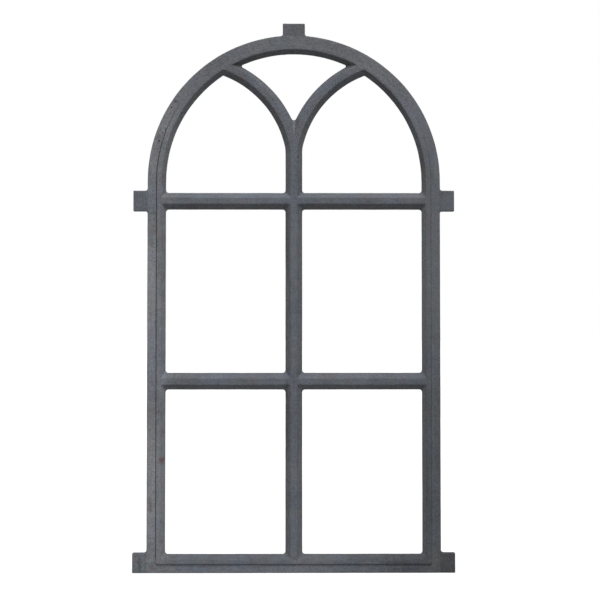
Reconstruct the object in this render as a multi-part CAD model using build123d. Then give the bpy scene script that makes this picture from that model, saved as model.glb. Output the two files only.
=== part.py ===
"""Arched barn window: one iron casting with stiles, round head, mullion, transoms, tracery and wall lugs.

Millimetres, +Z up, front towards -Y. The origin is the middle of the underside, the face that sits on the sill.
"""
from build123d import *
from collections import namedtuple
from math import hypot, sqrt
import os

# Heights and widths of the opening, from the sill up
WINDOW_WIDTH = 522.5        # across the outer faces of the stiles
PANE_HEIGHT = 291.9         # clear height of each of the two rows of panes
HEAD_STILT = 21.2           # straight part of the head, from the upper transom to the springing

# Section of the outer frame, from its outer face inwards
FRAME_WIDTH = 32.3
MARGIN_WIDTH = 16.3         # plain margin outside the raised moulding
STEP_WIDTH = 0.5            # draft of the wall from the margin up to the moulding
STEP_HEIGHT = 3.0
FRAME_CREST = 9.0           # flat top of the frame's moulding
STEP_CORNER = 4.5           # corner radius of the moulding at the sill

# Section of the glazing bars
BAR_WIDTH = 30.0
BAR_CREST = 11.0            # flat top of every bar
CHAMFER_DEPTH = 9.0         # how far the sloping sides run back from the crest
REBATE_WIDTH = 10.0         # putty rebate round every opening, cut from the back
REBATE_DEPTH = 11.0
REBATE_DRAFT = 0.6          # how much narrower the rebate is at its floor, so that the pattern lifts
CASTING_DEPTH = 22.0        # from the crests to the back

# Tracery: two branches that leave the mullion and swing out to the head
BRANCH_RADIUS = 193.0       # of each branch's centre line
BRANCH_LAP = 2.5            # how far that line swings past the middle of the mullion
BRANCH_RISE = 23.0          # centre of the branch above the springing
BRANCH_SLIMMING = 2.0       # a branch is this much narrower than the mullion
BRANCH_EASE = 60.0          # radius that eases a branch into the mullion's side

# Rounding that the mould leaves in the corners
PANE_CORNER = 5.0
TIP_CORNER = 2.5            # where an arc runs into another
NOTCH_RADIUS = 4.2          # in the fork of the tracery
MITRE_RADIUS = 0.8          # where two chamfers meet at the crest
ARRIS_RADIUS = 1.5          # outer front edge

# Lugs that are built into the masonry
LUG_HEIGHT = 37.0           # of the upper two, level with the upper transom
FOOT_LUG_HEIGHT = 34.8
LUG_REACH = 25.4
CROWN_LUG_WIDTH = 39.6
CROWN_LUG_REACH = 21.45
LUG_ROOT = 4.0
FOOT_LUG_ROOT = 6.0
LUG_CORNER = 1.0
LUG_THICKNESS = 9.0         # back from the margin's face

# Heights that follow
LOWER_TRANSOM = FRAME_WIDTH + PANE_HEIGHT
UPPER_TRANSOM = LOWER_TRANSOM + BAR_WIDTH + PANE_HEIGHT
HEAD_SILL = UPPER_TRANSOM + BAR_WIDTH
SPRINGING = HEAD_SILL + HEAD_STILT
HEAD_RADIUS = WINDOW_WIDTH / 2
CROWN = SPRINGING + HEAD_RADIUS
CLEAR_HALF = HEAD_RADIUS - FRAME_WIDTH

# Depths that follow, along Y
MARGIN_FACE = -(CASTING_DEPTH - STEP_HEIGHT) / 2
BACK_FACE = -MARGIN_FACE
LUG_BACK = MARGIN_FACE + LUG_THICKNESS
CREST_FACE = MARGIN_FACE - STEP_HEIGHT
CHAMFER_ROOT = CREST_FACE + CHAMFER_DEPTH
REBATE_FLOOR = BACK_FACE - REBATE_DEPTH

# Widths that follow
FRAME_CHAMFER = FRAME_WIDTH - MARGIN_WIDTH - STEP_WIDTH - FRAME_CREST
BAR_CHAMFER = (BAR_WIDTH - BAR_CREST) / 2
BRANCH_WIDTH = BAR_WIDTH - BRANCH_SLIMMING
BRANCH_CHAMFER = (BRANCH_WIDTH - BAR_CREST) / 2
BRANCH_CENTRE_X = BRANCH_LAP - BRANCH_RADIUS
BRANCH_CENTRE_Z = SPRINGING + BRANCH_RISE

# An opening's outline at one depth: how far it has grown past its clear edge on the frame, on the straight
# bars and on the branches, and the radii of its corners, of its tips and of the fork.
Level = namedtuple("Level", "frame bar branch corner tip notch")
CLEAR = Level(0, 0, 0, PANE_CORNER, TIP_CORNER, NOTCH_RADIUS)
CREST = Level(FRAME_CHAMFER, BAR_CHAMFER, BRANCH_CHAMFER, *[MITRE_RADIUS] * 3)
BED = Level(*[REBATE_WIDTH - REBATE_DRAFT] * 3, PANE_CORNER, TIP_CORNER, TIP_CORNER)
MOUTH = Level(*[REBATE_WIDTH] * 3, PANE_CORNER, TIP_CORNER, TIP_CORNER)


def at_depth(outline, y):
    """Stand an outline drawn in X and Z up in the window, facing the front, at depth y."""
    return Plane((0, y, 0), x_dir=(1, 0, 0), z_dir=(0, -1, 0)) * outline


def slab(outline, front, back):
    return extrude(at_depth(outline, front), amount=front - back)


def flare(outline_a, y_a, outline_b, y_b):
    """Straight-sided body between two outlines of the same make at two depths."""
    return loft([at_depth(outline_a, y_a).face(), at_depth(outline_b, y_b).face()], ruled=True)


def arc(centre, radius, start, end):
    """The shorter arc about a centre from start to end."""
    dx = start[0] + end[0] - 2 * centre[0]
    dz = start[1] + end[1] - 2 * centre[1]
    reach = radius / hypot(dx, dz)
    return ThreePointArc(start, (centre[0] + dx * reach, centre[1] + dz * reach), end)


def upper_crossing(centre_a, radius_a, centre_b, radius_b):
    """The upper of the two points where two circles cross."""
    dx, dz = centre_b[0] - centre_a[0], centre_b[1] - centre_a[1]
    apart = hypot(dx, dz)
    along = (radius_a ** 2 - radius_b ** 2 + apart ** 2) / (2 * apart)
    across = sqrt(radius_a ** 2 - along ** 2)
    mid = (centre_a[0] + dx * along / apart, centre_a[1] + dz * along / apart)
    sideways = (dz / apart * across, -dx / apart * across)
    if sideways[1] < 0:
        sideways = (-sideways[0], -sideways[1])
    return mid[0] + sideways[0], mid[1] + sideways[1]


def rounded(outline, corners):
    """Round the outline's corner nearest to each point, by the radius that goes with it."""
    for point, radius in corners:
        outline = fillet(outline.vertices().sort_by_distance((*point, 0))[0], radius)
    return outline


def round_headed(inset, corner):
    """The window's round-headed outline, moved in from its outer face on every side."""
    half = HEAD_RADIUS - inset
    outline = make_face([
        Line((-half, inset), (half, inset)),
        Line((half, inset), (half, SPRINGING)),
        ThreePointArc((half, SPRINGING), (0, SPRINGING + half), (-half, SPRINGING)),
        Line((-half, SPRINGING), (-half, inset)),
    ])
    if corner:
        outline = rounded(outline, [((-half, inset), corner), ((half, inset), corner)])
    return outline


def lower_pane(level):
    """Left-hand opening between the sill rail and the lower transom."""
    return pane(level, FRAME_WIDTH - level.frame, LOWER_TRANSOM + level.bar)


def upper_pane(level):
    """Left-hand opening between the two transoms."""
    return pane(level, LOWER_TRANSOM + BAR_WIDTH - level.bar, UPPER_TRANSOM + level.bar)


def pane(level, low, high):
    left = -CLEAR_HALF - level.frame
    right = -BAR_WIDTH / 2 + level.bar
    corners = [(left, low), (right, low), (right, high), (left, high)]
    outline = make_face(Polyline(*corners, close=True))
    return rounded(outline, [(corner, level.corner) for corner in corners])


def half_lancet(level):
    """Left-hand opening of the head, under the left branch."""
    left = -CLEAR_HALF - level.frame
    right = -BAR_WIDTH / 2 + level.bar
    low = HEAD_SILL - level.bar
    head = (0, SPRINGING)
    head_radius = CLEAR_HALF + level.frame
    branch = (BRANCH_CENTRE_X, BRANCH_CENTRE_Z)
    branch_radius = BRANCH_RADIUS - BRANCH_WIDTH / 2 + level.branch
    fork = (right, branch[1] + sqrt(branch_radius ** 2 - (right - branch[0]) ** 2))
    apex = upper_crossing(head, head_radius, branch, branch_radius)
    springing = (left, SPRINGING)
    outline = make_face([
        Line((left, low), (right, low)),
        Line((right, low), fork),
        arc(branch, branch_radius, fork, apex),
        arc(head, head_radius, apex, springing),
        Line(springing, (left, low)),
    ])
    corner = level.corner
    return rounded(outline, [((left, low), corner), ((right, low), corner), (fork, BRANCH_EASE), (apex, level.tip)])


def spandrel(level):
    """Opening in the middle of the head, between the two branches and the arch."""
    head = (0, SPRINGING)
    head_radius = CLEAR_HALF + level.frame
    branch = (BRANCH_CENTRE_X, BRANCH_CENTRE_Z)
    branch_radius = BRANCH_RADIUS + BRANCH_WIDTH / 2 - level.branch
    left = upper_crossing(head, head_radius, branch, branch_radius)
    right = (-left[0], left[1])
    fork = (0, branch[1] + sqrt(branch_radius ** 2 - branch[0] ** 2))
    outline = make_face([
        arc(head, head_radius, left, right),
        arc((-branch[0], branch[1]), branch_radius, right, fork),
        arc(branch, branch_radius, fork, left),
    ])
    return rounded(outline, [(left, level.tip), (right, level.tip), (fork, level.notch)])


def opening(outline):
    """All that is taken out for one opening: flared front, clear edge and putty rebate."""
    front = flare(outline(CREST), CREST_FACE, outline(CLEAR), CHAMFER_ROOT)
    middle = slab(outline(CLEAR), CHAMFER_ROOT, REBATE_FLOOR)
    rebate = flare(outline(BED), REBATE_FLOOR, outline(MOUTH), BACK_FACE)
    return [front, middle, rebate]


def lug_outline():
    """The window's outline with its five lugs, their roots eased and their corners rounded."""
    half = HEAD_RADIUS
    tip = half + LUG_REACH
    lug_middle = UPPER_TRANSOM + BAR_WIDTH / 2
    low, high = lug_middle - LUG_HEIGHT / 2, lug_middle + LUG_HEIGHT / 2
    crown_half = CROWN_LUG_WIDTH / 2
    crown_root = SPRINGING + sqrt(half ** 2 - crown_half ** 2)
    crown_tip = CROWN + CROWN_LUG_REACH
    outline = round_headed(0, 0)
    outline += Pos(0, FOOT_LUG_HEIGHT / 2) * Rectangle(2 * tip, FOOT_LUG_HEIGHT)
    outline += Pos(0, lug_middle) * Rectangle(2 * tip, LUG_HEIGHT)
    outline += Pos(0, (SPRINGING + crown_tip) / 2) * Rectangle(CROWN_LUG_WIDTH, crown_tip - SPRINGING)
    roots = [(crown_half, crown_root), (half, high), (half, low)]
    tips = [(crown_half, crown_tip), (tip, high), (tip, low), (tip, FOOT_LUG_HEIGHT), (tip, 0)]
    corners = [(point, LUG_ROOT) for point in roots] + [(point, LUG_CORNER) for point in tips]
    corners.append(((half, FOOT_LUG_HEIGHT), FOOT_LUG_ROOT))
    mirrored = [((-x, z), radius) for (x, z), radius in corners]
    return rounded(outline, corners + mirrored)


def blank():
    """The casting before its openings: frame, lugs level with its front, and raised moulding."""
    face = slab(lug_outline(), MARGIN_FACE, LUG_BACK)
    arris = face.faces().sort_by(Axis.Y)[0].outer_wire().edges()
    face = fillet(arris, ARRIS_RADIUS)
    depth = slab(round_headed(0, 0), LUG_BACK, BACK_FACE)
    foot = round_headed(MARGIN_WIDTH, STEP_CORNER)
    crest = round_headed(MARGIN_WIDTH + STEP_WIDTH, STEP_CORNER - STEP_WIDTH)
    return face + depth + flare(crest, CREST_FACE, foot, MARGIN_FACE)


def window():
    left_hand = [part for outline in (lower_pane, upper_pane, half_lancet) for part in opening(outline)]
    right_hand = [mirror(part, about=Plane.YZ) for part in left_hand]
    casting = blank()
    for part in left_hand + right_hand + opening(spandrel):
        casting -= part
    return casting


os.makedirs("parts", exist_ok=True)
casting = window()
casting.label = "window_casting"
export_step(casting, "parts/window_casting.step")
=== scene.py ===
"""Arched cast iron barn window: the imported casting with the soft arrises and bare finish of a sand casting,
on a white studio floor, seen by the photograph's camera. Metres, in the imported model's frame."""
import math

import bmesh
import bpy
from mathutils import Euler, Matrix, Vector


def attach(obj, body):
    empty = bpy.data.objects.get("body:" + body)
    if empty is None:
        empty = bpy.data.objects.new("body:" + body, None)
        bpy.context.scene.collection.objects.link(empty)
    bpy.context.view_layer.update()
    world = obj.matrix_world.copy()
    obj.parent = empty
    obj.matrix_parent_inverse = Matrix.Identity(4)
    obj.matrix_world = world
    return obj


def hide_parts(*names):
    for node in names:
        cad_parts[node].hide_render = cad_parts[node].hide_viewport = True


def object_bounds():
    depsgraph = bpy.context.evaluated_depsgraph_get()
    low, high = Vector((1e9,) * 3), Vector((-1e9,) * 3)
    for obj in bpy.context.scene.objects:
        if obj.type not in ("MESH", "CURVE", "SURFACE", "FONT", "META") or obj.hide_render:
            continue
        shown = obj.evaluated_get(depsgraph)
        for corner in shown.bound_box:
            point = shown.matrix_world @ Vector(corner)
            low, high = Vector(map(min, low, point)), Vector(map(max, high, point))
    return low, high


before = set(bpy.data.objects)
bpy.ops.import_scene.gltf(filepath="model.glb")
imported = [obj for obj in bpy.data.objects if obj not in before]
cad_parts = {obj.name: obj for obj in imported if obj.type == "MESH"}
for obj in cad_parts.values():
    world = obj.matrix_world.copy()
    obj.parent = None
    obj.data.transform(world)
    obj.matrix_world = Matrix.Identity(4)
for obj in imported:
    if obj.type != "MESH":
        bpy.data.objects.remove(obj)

cad_low, cad_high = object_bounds()

# Camera
CAMERA_DISTANCE = 1.500     # in front of the crests
CAMERA_SIDE = 0.0047        # to the right of the mullion's middle
CAMERA_HEIGHT = 0.4565      # above the underside
CAMERA_YAW = 0.24           # degrees to the right
CAMERA_PITCH = 1.05         # degrees up
FOCAL_IN_WIDTHS = 1.4062    # focal length over the image's width
SENSOR_WIDTH = 36.0         # millimetres, as Blender counts

# Sun lamps: degrees above the horizon, degrees round from straight in front, degrees across, and strength
KEY = (54.0, 8.0, 38.0, 3.00)
BACK_FILL = (42.0, 180.0, 70.0, 1.00)
SKY_STRENGTH = 0.14         # what the white surroundings add

# Floor, a disc round the window's foot
FLOOR_RADIUS = 14.0
FLOOR_CORNERS = 96
FLOOR_FADE = (0.3, 1.8)     # distances over which near gives way to far
FLOOR_TONE = (0.40, 0.18)   # what the light finds, near and far
FLOOR_WHITENESS = (0.70, 0.92)      # what shows on top of that, near and far

# Mould-rounded mesh
WELD_DISTANCE = 1e-6
SHARP_ANGLE = 20.0          # degrees, between faces that meet at a real edge
CURVE_LEVELS = 2
VOXEL = 0.0008
ROUNDING_FACTOR = 0.5
ROUNDING_PASSES = 1
MOST_TRIANGLES = 190_000
UNEVEN_MOULD = {            # size and depth of the sand mould's slow and fine unevenness
    "mould_waves": (0.040, 0.00035),
    "mould_dimples": (0.007, 0.00012),
}

# Outline of the frame
FRAME_HALF = 0.26125        # half the width over the stiles, and the radius of the head
SPRINGING = 0.6973          # height from which the head is round
MOULDING_INSET = 0.0165     # of the raised moulding's foot from the frame's outer face

# The finish changes smoothly over the window. Each bracketed tuple from here to the noises is where a change
# starts and ends, and then the values before and after, where they aren't 0 and 1. First the window's parts
LEFT_STILE = (-0.19, -0.23)             # over x
RIGHT_STILE = (0.19, 0.23)
OFF_LEFT_LUGS = (-0.275, -0.262)
MULLION = (0.018, 0.014)                # over the distance from its middle
BELOW_HEAD = (0.70, 0.68)               # over z
HEAD_FOOT = (0.70, 0.76)
HEAD = (0.70, 0.80)
FRAME_BAND = (0.035, 0.033)             # over the distance in from the nearest outer face
HEAD_BAND = (0.038, 0.034)              # over the distance in from the sides
FLARE_START = (0.0262, 0.0270)          # the flare is the frame's sloping inner side
FLARE_END = (0.0352, 0.0332)

# The way the skin faces
SIDEWAYS = (0.3, 0.6)                   # over the normal's part to either side
UPWARD = (0.2, 0.7)                     # over its part that points up
NOT_UPWARD = (0.5, 0.2)
SLOPING = (0.90, 0.75)                  # over its part to the front or back

# Tone, 1 being the plain skin, and the contrast of its unevenness
UPPER_BRIGHTNESS = (0.70, 0.30, 1.08, 1.00)     # over z
SILL_BRIGHTNESS = (0.027, 0.023, 0.0, 0.07)
HEAD_BRIGHTNESS = 0.13
GRAIN_CONTRAST = (0.70, 0.78, 1.2, 2.1)
RIGHT_CONTRAST = (*RIGHT_STILE, 1.0, 0.6)
LEFT_CONTRAST = 0.6                             # added to the 1 elsewhere
STREAK_STRENGTH = 0.40
STREAK_WIDTH, STREAK_LENGTH = 0.0028, 0.060

# Painted light and shade on the flare, hollows, rims and slopes, and other places that are brighter or darker
STILE_FLARE_LIGHT = (0.64, 0.74, 0.42, 0.0)        # painted light on the flare, over z
# painted shade on the flare over the crown
CROWN_FLARE_SHADE = (0.76, 0.86, 0.0, -0.18)
LEFT_FLARE_LIGHT = (-0.10, -0.14, 0.0, 0.28)       # painted light on the flare in the head, over x
MARGIN_EDGE = (MOULDING_INSET + 0.0005, MOULDING_INSET)     # of the flat margin outside the moulding
MARGIN_TOP = (0.72, 0.60)
MARGIN_BRIGHTNESS = 0.10
FOOT_UPWARD_DARKENING = (0.5, 0.0, 0.0, 0.22)           # darker on what faces up, over z
HEAD_UPWARD_DARKENING = (*HEAD_FOOT, 0.0, 0.14)
HOLLOW_SHADE = (0.42, 0.49, 0.78, 1.0)       # painted shade in hollows, over how pointed the skin is
EDGEWISE_SHADE = (0.12, 0.42, 0.6, 1.0)      # painted shade on the outer sides, over the normal's part to the front or back
ARRIS_SHADE = (0.0004, 0.0022, 0.78, 1.0)    # and on their arrises, over the distance in from the outer faces
SHADED_SLOPE_TONE = -0.06                      # painted shade on slopes that don't face up

# Painted shade in the moulding's foot, and a painted highlight next to it low on the right
MOULDING_SHADE_BAND = (0.0016, 0.0004)                # over the distance from the moulding's foot
MOULDING_SHADE_DEPTH = (-0.190, -0.235, 0.15, 0.75)   # over x
CROWN_MOULDING_SHADE = (0.86, 0.92, 0.0, 0.22)        # over z
MOULDING_SHADE_ABOVE_SILL = (0.020, 0.030)
HIGHLIGHT_INSET = 0.0135                       # of its middle from the frame's side
HIGHLIGHT_BAND = (0.0018, 0.0004, 0.0, 0.20)   # over the distance from its middle
HIGHLIGHT_TOP = (0.45, 0.36)

# Colour over the noises, and the least share of grey that a part of the window has
GREYER = (0.38, 0.66, 0.0, 0.8)
LESS_GREY = (0.52, 0.62, 1.0, 0.5)
BROWNISH = (0.47, 0.37, 0.0, 0.20)
VIOLET_TINT = (0.52, 0.66, 0.0, 0.8)
GREEN_TINT = (0.48, 0.34, 0.0, 0.8)
# slopes that don't face up are painted greyer, for the less blue light that falls on them
GREY_RIGHT, GREY_HEAD, GREY_SHADED_SLOPE = 0.35, 0.45, 0.6
RUST_PATCHES = (0.56, 0.72)
RUST_GRAINS = (0.45, 0.70, 0.0, 0.35)

# Edges of ovals, over the share of the way out from their middle
OVAL_EDGE = (1.0, 0.4)
SPOT_EDGE = (1.0, 0.3)
BLUE_EDGE = (0.3, 1.0, 0.45, 1.0)

# Noises: size, detail, roughness, and a shift that keeps each apart from the others
NOISES = {
    "drift": (0.09, 3, 0.5, 0.0),
    "hue": (0.05, 4, 0.65, 3.0),
    "rust": (0.04, 3, 0.5, 7.0),
    "waves": (0.03, 2, 0.5, 0.0),
    "patches": (0.024, 2, 0.5, 9.0),
    "tint": (0.018, 4, 0.7, 5.0),
    "blotch": (0.014, 3, 0.6, 1.0),
    "mottle": (0.0050, 3, 0.6, 0.0),
    "ragged": (0.004, 3, 0.5, 0.0),
    "speckle": (0.0024, 2, 0.5, 2.0),
    "grain": (0.0010, 2, 0.5, 0.0),
}
FINE_TONE = {"speckle": 0.70, "grain": 0.50}                    # share of each noise in the tone
BROAD_TONE = {"drift": 0.50, "blotch": 0.45, "mottle": 0.60}
RAGGEDNESS = 2.2                            # of the rust specks' edges
ROUGHNESS, ROUGHNESS_CHANGE = 0.56, 0.20
SHINE = 0.2
WAVES = {"Strength": 0.6, "Distance": 0.002}
PITS = {"Strength": 1.0, "Distance": 0.0008}
DIMPLES = {"Strength": 0.8, "Distance": 0.0009}
SAND = {"Strength": 0.7, "Distance": 0.0004}

# Gas pits in the skin: small ones scattered, and the big ones of the photograph as x, z
PIT_SPACING, PIT_RADIUS = 0.020, 0.0013
PIT_STRENGTH = 0.6          # of the small ones, to 1 for the big ones
# painted shade in the pits
PIT_SHADE = 0.80
BIG_PIT_RADIUS = 0.0021
BIG_PITS = [(-0.211, 0.839), (-0.2185, 0.828), (-0.229, 0.788), (-0.2405, 0.768), (0.0075, 0.739)]

# Bare cast iron, in linear colour
STEEL = (0.110, 0.1245, 0.152, 1)
GREY = (0.122, 0.125, 0.134, 1)
VIOLET = (0.124, 0.119, 0.139, 1)
GREEN = (0.112, 0.127, 0.128, 1)
RUST = (0.125, 0.082, 0.070, 1)
WHITE = (1, 1, 1, 1)
BLUE_PATCHES = [(-0.245, 0.37, 0.040, 0.12), (-0.255, 0.67, 0.040, 0.06)]   # ovals, on the left stile
STAINS_AND_PAINTED_LIGHT = [                  # x, z, half width, half height, and how much paler or darker; a few are painted highlight and shade
    (-0.262, 0.36, 0.050, 0.50, 0.48),      # left stile, weathered pale
    (-0.257, 0.49, 0.030, 0.11, 0.20),      # paler and duller along it
    (-0.257, 0.30, 0.024, 0.07, -0.18),
    (-0.242, 0.16, 0.020, 0.10, 0.16),
    (-0.260, 0.63, 0.022, 0.06, -0.20),
    (-0.256, 0.03, 0.016, 0.04, -0.16),
    (-0.250, 0.77, 0.070, 0.12, 0.24),      # foot of the head on the left
    (-0.200, 0.82, 0.060, 0.09, 0.08),      # and up its side
    (0.300, 0.00, 0.260, 0.60, -0.41),      # right-hand foot, darker
    (0.300, 0.015, 0.060, 0.08, -0.13),     # right foot lug
    (0.260, 0.70, 0.060, 0.28, -0.13),      # top of the right stile
    (0.160, 0.008, 0.160, 0.030, -0.11),    # right half of the sill rail
    (0.200, 0.340, 0.060, 0.030, 0.09),     # right end of the lower transom
    (0.257, 0.725, 0.010, 0.045, 0.18),     # pale margin at the foot of the head on the right
    (0.276, 0.661, 0.018, 0.040, 0.24),     # upper lugs
    (-0.276, 0.661, 0.018, 0.040, -0.08),
    (-0.273, 0.014, 0.005, 0.018, -0.50),   # dark streak on the left foot lug
    (-0.013, 0.27, 0.006, 0.11, -0.25),     # left side of the mullion, painted shade
    (-0.013, 0.59, 0.006, 0.09, -0.25),
    (0.000, 0.28, 0.020, 0.12, -0.10),      # mullion's front, duller below and brighter above
    (0.000, 0.59, 0.016, 0.06, 0.13),
    (0.0004, 0.795, 0.0016, 0.013, 0.35),   # painted highlight on the crease below the fork, and painted shade on the side next to it
    (0.0070, 0.803, 0.0050, 0.013, -0.25),
]
RUST_SPECKS = [             # x, z, half width, half height and depth of the brown places that catch the eye
    (-0.234, 0.200, 0.006, 0.009, 0.85),
    (-0.233, 0.251, 0.004, 0.008, 0.45),
    (-0.236, 0.057, 0.005, 0.005, 0.45),
    (-0.254, 0.120, 0.004, 0.017, 0.60),
    (-0.251, 0.011, 0.008, 0.008, 0.50),
    (0.064, 0.350, 0.022, 0.004, 0.40),
    (0.242, 0.624, 0.005, 0.005, 0.45),
    (0.070, 0.882, 0.006, 0.005, 0.35),
    (-0.093, 0.880, 0.005, 0.005, 0.45),
]


def casting_mesh(node):
    """The node's mesh, welded, with its real edges creased so that only curved faces get smoother."""
    bm = bmesh.new()
    bm.from_mesh(node.data)
    bmesh.ops.remove_doubles(bm, verts=bm.verts, dist=WELD_DISTANCE)
    crease = bm.edges.layers.float.new("crease_edge")
    for edge in bm.edges:
        edge.smooth = True
        if edge.calc_face_angle() > math.radians(SHARP_ANGLE):
            edge[crease] = 1.0
    fresh = bpy.data.meshes.new("window_casting_soft")
    bm.to_mesh(fresh)
    bm.free()
    return fresh


def modify(piece, kind, **settings):
    modifier = piece.modifiers.new(kind.lower(), kind)
    for name, value in settings.items():
        setattr(modifier, name, value)


def clouds(name, size):
    texture = bpy.data.textures.new(name, "CLOUDS")
    texture.noise_scale = size
    texture.noise_depth = 1
    return texture


def applied(piece):
    """Replace the piece's mesh by what its modifiers make of it."""
    graph = bpy.context.evaluated_depsgraph_get()
    mesh = bpy.data.meshes.new_from_object(piece.evaluated_get(graph), depsgraph=graph)
    piece.modifiers.clear()
    piece.data = mesh
    return mesh


def soft_casting(node):
    """The casting as it leaves the sand: round arcs, eased arrises and a slightly uneven skin."""
    piece = bpy.data.objects.new("window_casting_finished", casting_mesh(node))
    bpy.context.scene.collection.objects.link(piece)
    modify(piece, "SUBSURF", levels=CURVE_LEVELS, render_levels=CURVE_LEVELS)
    modify(piece, "REMESH", mode="VOXEL", voxel_size=VOXEL)
    modify(piece, "SMOOTH", factor=ROUNDING_FACTOR, iterations=ROUNDING_PASSES)
    for name, (size, depth) in UNEVEN_MOULD.items():
        modify(piece, "DISPLACE", texture=clouds(name, size), strength=depth, mid_level=0.5)
    fine = applied(piece)
    fine.calc_loop_triangles()
    modify(piece, "DECIMATE", ratio=min(1, MOST_TRIANGLES / len(fine.loop_triangles)))
    mesh = applied(piece)
    mesh.shade_smooth()
    for vertex in mesh.vertices:
        vertex.co = [min(max(v, low), high) for v, low, high in zip(vertex.co, cad_low, cad_high)]
    return piece


class Tree:
    """Short calls that add shader nodes and wire them."""

    def __init__(self, owner):
        owner.use_nodes = True
        self.tree = owner.node_tree
        self.tree.nodes.clear()

    def add(self, kind, inputs=(), output=0, **settings):
        """One output of a new node, or the node itself where it has none."""
        node = self.tree.nodes.new(kind)
        for name, value in settings.items():
            setattr(node, name, value)
        for key, value in dict(inputs).items():
            if isinstance(value, bpy.types.NodeSocket):
                self.tree.links.new(value, node.inputs[key])
            else:
                node.inputs[key].default_value = value
        return node.outputs[output] if len(node.outputs) else node

    def math(self, operation, a, b=0.0, c=0.0, clamp=False):
        return self.add("ShaderNodeMath", {0: a, 1: b, 2: c}, operation=operation, use_clamp=clamp)

    def product(self, result, *others):
        for other in others:
            result = self.math("MULTIPLY", result, other)
        return result

    def total(self, result, *others):
        for other in others:
            result = self.math("ADD", result, other)
        return result

    def without(self, value):
        """What the value leaves of 1."""
        return self.math("SUBTRACT", 1.0, value)

    def distance(self, value, middle):
        return self.math("ABSOLUTE", self.math("SUBTRACT", value, middle))

    def noise(self, where, size, detail=2.0, roughness=0.5, shift=0.0):
        """Noise from 0 to 1 with features of about this size."""
        if shift:
            where = self.add("ShaderNodeVectorMath", {0: where, 1: (shift, shift, shift)}, operation="ADD")
        return self.add("ShaderNodeTexNoise", {"Vector": where, "Scale": 1 / size, "Detail": detail,
                                               "Roughness": roughness})

    def ramp(self, value, low, high, start=0.0, end=1.0):
        """Smooth change from start to end while the value goes from low to high."""
        return self.add("ShaderNodeMapRange", {0: value, 1: low, 2: high, 3: start, 4: end},
                        interpolation_type="SMOOTHSTEP")

    def mix(self, factor, a, b, blend="MIX"):
        return self.add("ShaderNodeMix", {0: factor, 6: a, 7: b}, output=2, data_type="RGBA",
                        blend_type=blend)


class Skin:
    """What the parts of the finish share at a point of the casting: where it is, which way it faces, how much
    it belongs to a part of the window, and the noises."""

    def __init__(self, t):
        self.t = t
        self.place = t.add("ShaderNodeTexCoord", output=3)
        axes = t.add("ShaderNodeSeparateXYZ", {0: self.place}).node
        self.x, self.z = axes.outputs[0], axes.outputs[2]
        geometry = t.add("ShaderNodeNewGeometry").node
        normal = t.add("ShaderNodeSeparateXYZ", {0: geometry.outputs["Normal"]}).node
        self.pointed = geometry.outputs["Pointiness"]
        self.facing_up = normal.outputs[2]
        self.flat_on = t.math("ABSOLUTE", normal.outputs[1])
        self.facing_side = t.ramp(t.math("ABSOLUTE", normal.outputs[0]), *SIDEWAYS)
        # slopes that don't face up, which get painted shade and a greyer colour
        self.shaded_slope = t.product(t.ramp(self.flat_on, *SLOPING), t.ramp(self.facing_up, *NOT_UPWARD))

        above = t.math("MAXIMUM", t.math("SUBTRACT", self.z, SPRINGING), 0.0)
        reach = t.math("SQRT", t.total(t.product(self.x, self.x), t.product(above, above)))
        self.side = t.math("SUBTRACT", FRAME_HALF, reach)       # distance in from the frame's sides
        self.inset = t.math("MINIMUM", self.side, self.z)       # and from its nearest outer face
        self.left = t.ramp(self.x, *LEFT_STILE)
        self.right = t.ramp(self.x, *RIGHT_STILE)
        self.head = t.product(t.ramp(self.z, *HEAD), t.ramp(self.side, *HEAD_BAND))
        self.noises = {name: t.noise(self.place, *settings) for name, settings in NOISES.items()}

    def away_from(self, middle_x, middle_z, half_width, half_height):
        """0 in the middle of an upright oval and 1 on its edge."""
        t = self.t
        across = t.math("DIVIDE", t.math("SUBTRACT", self.x, middle_x), half_width)
        up = t.math("DIVIDE", t.math("SUBTRACT", self.z, middle_z), half_height)
        offset = t.add("ShaderNodeCombineXYZ", {0: across, 2: up})
        return t.add("ShaderNodeVectorMath", {0: offset}, output=1, operation="LENGTH")

    def with_noises(self, value, strengths):
        """The value plus the named noises, each centred on zero and at its strength."""
        for name, strength in strengths.items():
            centred = self.t.math("SUBTRACT", self.noises[name], 0.5)
            value = self.t.math("MULTIPLY_ADD", centred, strength, value)
        return value


def stains_and_painted_light(t, skin):
    """How light the skin is from place to place: the pale and darker areas, a few of them painted highlight
    and shade, 1 being the plain skin.
    """
    tone = t.total(t.ramp(skin.z, *UPPER_BRIGHTNESS), t.ramp(skin.z, *SILL_BRIGHTNESS))
    for *oval, change in STAINS_AND_PAINTED_LIGHT:
        tone = t.total(tone, t.ramp(skin.away_from(*oval), *OVAL_EDGE, 0.0, change))
    return tone


def streaks(t, skin):
    """Fine streaks along the frame's members, the mullion and the transoms."""
    def along(across, length):
        where = t.add("ShaderNodeCombineXYZ", {0: t.math("DIVIDE", across, STREAK_WIDTH),
                                               1: t.math("DIVIDE", length, STREAK_LENGTH)})
        return t.math("SUBTRACT", t.noise(where, 1.0), 0.5)

    on_frame = t.ramp(skin.inset, *FRAME_BAND)
    on_mullion = t.ramp(t.math("ABSOLUTE", skin.x), *MULLION)
    on_bars = t.product(t.ramp(skin.z, *BELOW_HEAD), t.without(on_frame))
    round_frame = t.product(along(skin.inset, t.total(skin.x, skin.z)), on_frame)
    upright = t.product(along(skin.x, skin.z), on_mullion)
    level = t.product(along(skin.z, skin.x), t.without(on_mullion))
    return t.total(round_frame, t.product(t.total(upright, level), on_bars))


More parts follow.
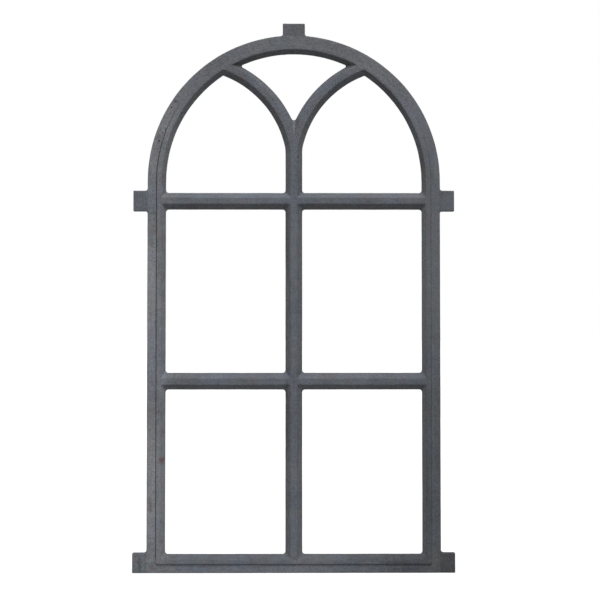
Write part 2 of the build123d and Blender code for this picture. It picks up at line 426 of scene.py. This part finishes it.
def unevenness(t, skin):
    """Light and dark from place to place, strongest on the left stile and weakest on the right one."""
    fine = t.product(skin.with_noises(0.0, FINE_TONE), t.ramp(skin.z, *GRAIN_CONTRAST))
    uneven = t.math("MULTIPLY_ADD", streaks(t, skin), STREAK_STRENGTH, skin.with_noises(fine, BROAD_TONE))
    contrast = t.math("MULTIPLY_ADD", skin.left, LEFT_CONTRAST, t.ramp(skin.x, *RIGHT_CONTRAST))
    return t.product(uneven, contrast)


def flare_light_and_shade(t, skin):
    """Painted light and shade on the flare: it is brighter on the stiles and on the left of the head, and
    duller over the crown.
    """
    flare = t.product(t.ramp(skin.side, *FLARE_START), t.ramp(skin.side, *FLARE_END))
    stiles = t.product(t.ramp(skin.z, *STILE_FLARE_LIGHT), skin.facing_side)
    left = t.product(t.ramp(skin.x, *LEFT_FLARE_LIGHT), t.ramp(skin.z, *HEAD_FOOT))
    return t.product(flare, t.total(stiles, t.ramp(skin.z, *CROWN_FLARE_SHADE), left))


def moulding_shade(t, skin):
    """Painted shade in the foot of the moulding, most on the left stile. Next to it, low on the right, a
    painted highlight makes the skin a little brighter, which counts as less than no shade."""
    # painted shade: deepest on the left stile, some over the crown, none at the sill
    depth = t.total(t.ramp(skin.x, *MOULDING_SHADE_DEPTH), t.ramp(skin.z, *CROWN_MOULDING_SHADE))
    depth = t.product(depth, t.ramp(skin.z, *MOULDING_SHADE_ABOVE_SILL))
    foot = t.ramp(t.distance(skin.inset, MOULDING_INSET), *MOULDING_SHADE_BAND)
    # painted highlight on the margin next to the moulding, low on the right stile
    painted_highlight = t.ramp(t.distance(skin.side, HIGHLIGHT_INSET), *HIGHLIGHT_BAND)
    painted_highlight = t.product(painted_highlight, skin.right, t.ramp(skin.z, *HIGHLIGHT_TOP))
    return t.math("SUBTRACT", t.product(foot, depth), painted_highlight)


def upward_darkening(t, skin):
    """Darker on what faces up, low down and in the head."""
    depth = t.total(t.ramp(skin.z, *FOOT_UPWARD_DARKENING), t.ramp(skin.z, *HEAD_UPWARD_DARKENING))
    return t.product(t.ramp(skin.facing_up, *UPWARD), depth)


def pitted(t, skin):
    """1 on the skin, and less in the gas pits: their depth for the bump, and painted shade in them for the
    colour.
    """
    cells = t.add("ShaderNodeTexVoronoi", {"Vector": skin.place, "Scale": 1 / PIT_SPACING}).node
    edge = [PIT_RADIUS / PIT_SPACING * share for share in SPOT_EDGE]
    pit = t.ramp(cells.outputs["Distance"], *edge, 0.0, PIT_STRENGTH)
    for middle in BIG_PITS:
        away = skin.away_from(*middle, BIG_PIT_RADIUS, BIG_PIT_RADIUS)
        pit = t.math("MAXIMUM", pit, t.ramp(away, *SPOT_EDGE))
    # painted shade in the pits
    return t.math("MULTIPLY_ADD", pit, -PIT_SHADE, 1.0)


def skin_tone(t, skin, holes):
    """How light the skin is, with all that makes it paler or darker, painted light and shade among it."""
    tone = t.total(stains_and_painted_light(t, skin), flare_light_and_shade(t, skin), t.product(skin.head, HEAD_BRIGHTNESS))
    tone = t.total(tone, unevenness(t, skin))
    margin = t.product(t.ramp(skin.inset, *MARGIN_EDGE), t.ramp(skin.z, *MARGIN_TOP))
    margin = t.math("MULTIPLY_ADD", margin, MARGIN_BRIGHTNESS, 1.0)
    # painted shade on the outer sides and arrises
    rim_shade = t.product(t.ramp(skin.flat_on, *EDGEWISE_SHADE), t.ramp(skin.inset, *ARRIS_SHADE))
    # painted shade in hollows
    hollow_shade = t.ramp(skin.pointed, *HOLLOW_SHADE)
    # painted shade on slopes that don't face up
    slope_shade = t.math("MULTIPLY_ADD", skin.shaded_slope, SHADED_SLOPE_TONE, 1.0)
    # what the painted shade in the moulding's foot and the darkening of upward faces leave
    after_darkening = t.product(t.without(moulding_shade(t, skin)), t.without(upward_darkening(t, skin)))
    return t.product(tone, margin, after_darkening, hollow_shade, rim_shade, slope_shade, holes)


def skin_colour(t, skin):
    """Steel blue skin that turns grey, brownish, violet and greenish from place to place."""
    patches, tint = skin.noises["patches"], skin.noises["tint"]
    not_blue = 1.0
    for oval in BLUE_PATCHES:
        not_blue = t.product(not_blue, t.ramp(skin.away_from(*oval), *BLUE_EDGE))
    grey = t.product(skin.left, t.ramp(skin.x, *OFF_LEFT_LUGS), t.ramp(patches, *LESS_GREY))
    # the greyer slopes that don't face up are painted light colour
    for part, share in ((skin.right, GREY_RIGHT), (skin.head, GREY_HEAD), (skin.shaded_slope, GREY_SHADED_SLOPE)):
        grey = t.math("MAXIMUM", grey, t.product(part, share))
    grey = t.math("ADD", t.ramp(skin.noises["hue"], *GREYER), grey, clamp=True)
    colour = t.mix(t.product(grey, not_blue), STEEL, GREY)
    colour = t.mix(t.product(t.ramp(patches, *BROWNISH), skin.left, not_blue), colour, RUST)
    colour = t.mix(t.ramp(tint, *VIOLET_TINT), colour, VIOLET)
    return t.mix(t.ramp(tint, *GREEN_TINT), colour, GREEN)


def rusted(t, skin):
    """How brown a place is: the specks that catch the eye, and a thin bloom."""
    ragged = t.product(t.math("SUBTRACT", skin.noises["ragged"], 0.5), RAGGEDNESS)
    specks = 0.0
    for *oval, depth in RUST_SPECKS:
        away = t.total(skin.away_from(*oval), ragged)
        specks = t.math("MAXIMUM", specks, t.ramp(away, *SPOT_EDGE, 0.0, depth))
    bloom = t.ramp(skin.noises["rust"], *RUST_PATCHES)
    bloom = t.product(bloom, t.ramp(skin.noises["speckle"], *RUST_GRAINS))
    return t.math("MAXIMUM", specks, bloom)


def relief(t, skin, holes):
    """The skin's normal, roughened by slow waves, pits, dimples and grains of sand."""
    normal = t.add("ShaderNodeBump", {**WAVES, "Height": skin.noises["waves"]})
    for bump, height in ((PITS, holes), (DIMPLES, skin.noises["mottle"]), (SAND, skin.noises["grain"])):
        normal = t.add("ShaderNodeBump", {**bump, "Height": height, "Normal": normal})
    return normal


def cast_iron():
    """Bare sand-cast iron: matte blue-grey skin, mottled, sooty in places, with a few specks of rust."""
    material = bpy.data.materials.new("bare_cast_iron")
    t = Tree(material)
    skin = Skin(t)
    holes = pitted(t, skin)
    colour = t.mix(1.0, skin_colour(t, skin), skin_tone(t, skin, holes), blend="MULTIPLY")
    colour = t.mix(rusted(t, skin), colour, RUST)
    roughness = t.math("MULTIPLY_ADD", skin.noises["mottle"], ROUGHNESS_CHANGE, ROUGHNESS)
    normal = relief(t, skin, holes)
    shader = t.add("ShaderNodeBsdfPrincipled", {"Base Color": colour, "Roughness": roughness,
                                                "Normal": normal, "Specular IOR Level": SHINE})
    t.add("ShaderNodeOutputMaterial", {"Surface": shader})
    return material


def seen_directly(t):
    """1 for rays that show the surroundings as they look, and 0 for those that only light the object."""
    path = t.add("ShaderNodeLightPath").node
    seen = t.math("MAXIMUM", path.outputs["Is Camera Ray"], path.outputs["Is Glossy Ray"])
    return t.math("MAXIMUM", seen, path.outputs["Is Transmission Ray"])


def white_surroundings():
    """White to look at, but with little light for the window."""
    world = bpy.data.worlds.new("studio")
    bpy.context.scene.world = world
    t = Tree(world)
    strength = t.math("MULTIPLY_ADD", seen_directly(t), 1 - SKY_STRENGTH, SKY_STRENGTH)
    background = t.add("ShaderNodeBackground", {"Color": WHITE, "Strength": strength})
    t.add("ShaderNodeOutputWorld", {"Surface": background})


def floor_paint():
    """Matte paint that takes the window's shadow, with a glow that shows but hardly lights the window."""
    material = bpy.data.materials.new("studio_floor")
    t = Tree(material)
    place = t.add("ShaderNodeTexCoord", output=3)
    away = t.add("ShaderNodeVectorMath", {0: place}, output=1, operation="LENGTH")
    whiteness = t.product(seen_directly(t), t.ramp(away, *FLOOR_FADE, *FLOOR_WHITENESS))
    matte = t.add("ShaderNodeBsdfDiffuse", {"Color": t.ramp(away, *FLOOR_FADE, *FLOOR_TONE)})
    glow = t.add("ShaderNodeEmission", {"Color": WHITE, "Strength": whiteness})
    t.add("ShaderNodeOutputMaterial", {"Surface": t.add("ShaderNodeAddShader", {0: matte, 1: glow})})
    return material


def studio_floor():
    mesh = bpy.data.meshes.new("studio_floor")
    bm = bmesh.new()
    bmesh.ops.create_circle(bm, cap_ends=True, segments=FLOOR_CORNERS, radius=FLOOR_RADIUS)
    bm.to_mesh(mesh)
    bm.free()
    mesh.materials.append(floor_paint())
    floor = bpy.data.objects.new("studio_floor", mesh)
    bpy.context.scene.collection.objects.link(floor)


def sun_lamps():
    """A large soft key light in front, and a weak one for the back."""
    for name, (elevation, azimuth, softness, strength) in (("key", KEY), ("back_fill", BACK_FILL)):
        lamp = bpy.data.lights.new(name, "SUN")
        lamp.energy = strength
        lamp.angle = math.radians(softness)
        light = bpy.data.objects.new(name, lamp)
        light.rotation_euler = Euler((math.radians(90 - elevation), 0, math.radians(azimuth)))
        bpy.context.scene.collection.objects.link(light)


def photo_camera():
    camera = bpy.data.cameras.new("camera")
    camera.sensor_width = SENSOR_WIDTH
    camera.lens = SENSOR_WIDTH * FOCAL_IN_WIDTHS
    eye = bpy.data.objects.new("camera", camera)
    eye.location = Vector((CAMERA_SIDE, cad_low.y - CAMERA_DISTANCE, CAMERA_HEIGHT))
    eye.rotation_euler = Euler((math.radians(90 + CAMERA_PITCH), 0, math.radians(-CAMERA_YAW)))
    bpy.context.scene.collection.objects.link(eye)
    bpy.context.scene.camera = eye


photo_camera()
white_surroundings()
studio_floor()
sun_lamps()
casting = soft_casting(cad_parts["window_casting"])
casting.data.materials.clear()
casting.data.materials.append(cast_iron())
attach(casting, "root")
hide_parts("window_casting")
bpy.context.scene.view_settings.view_transform = "Standard"
